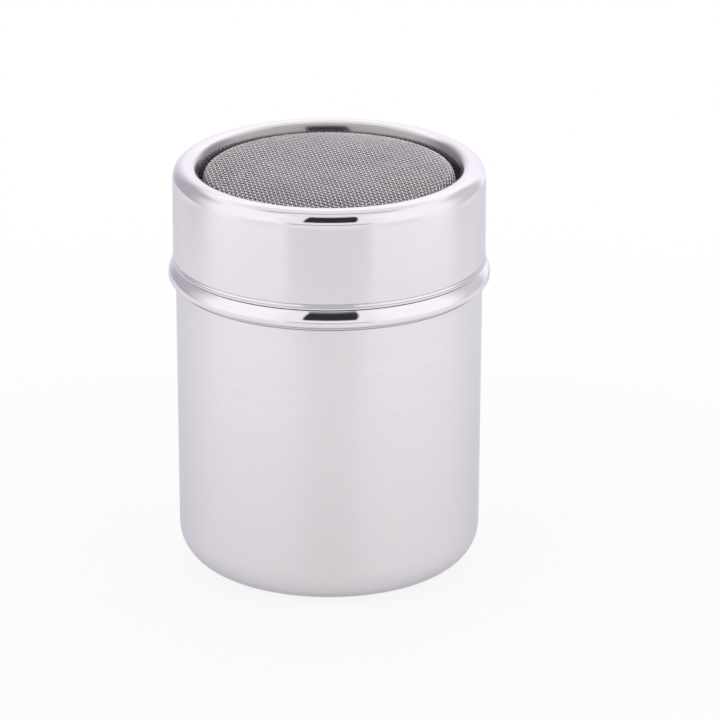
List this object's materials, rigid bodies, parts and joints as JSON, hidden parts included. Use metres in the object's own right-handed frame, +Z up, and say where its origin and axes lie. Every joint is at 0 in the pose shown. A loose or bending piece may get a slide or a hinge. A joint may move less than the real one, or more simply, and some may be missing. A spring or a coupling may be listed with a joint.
{
  "type": "powder shaker",
  "caption": "Round stainless steel powder shaker: drawn cup with a stop bead and a push-on lid that holds a woven wire screen.",
  "frame": {"origin": "middle of the underside, on the shaker's axis", "axes": "+Z up along the axis of the cup and lid; the shaker is round, so X and Y are free"},
  "size_m": [0.0682, 0.0682, 0.0884],
  "materials": {
    "satin_steel": "satin, fine marks round the wall",
    "polished_steel": "polished, faint marks round the skirt",
    "screen_wire": "drawn wire, plain weave",
    "hoop_steel": "as pressed"
  },
  "bodies": {
    "cup": {"cup": "satin_steel"},
    "lid": {"lid_shell": "polished_steel", "mesh_screen": "screen_wire", "screen_hoop": "hoop_steel"}
  },
  "joints": [
    {"name": "lid_lift", "type": "slide", "parent": "cup", "child": "lid", "axis": [0, 0, 1], "range_m": [0, 0.06]}
  ]
}
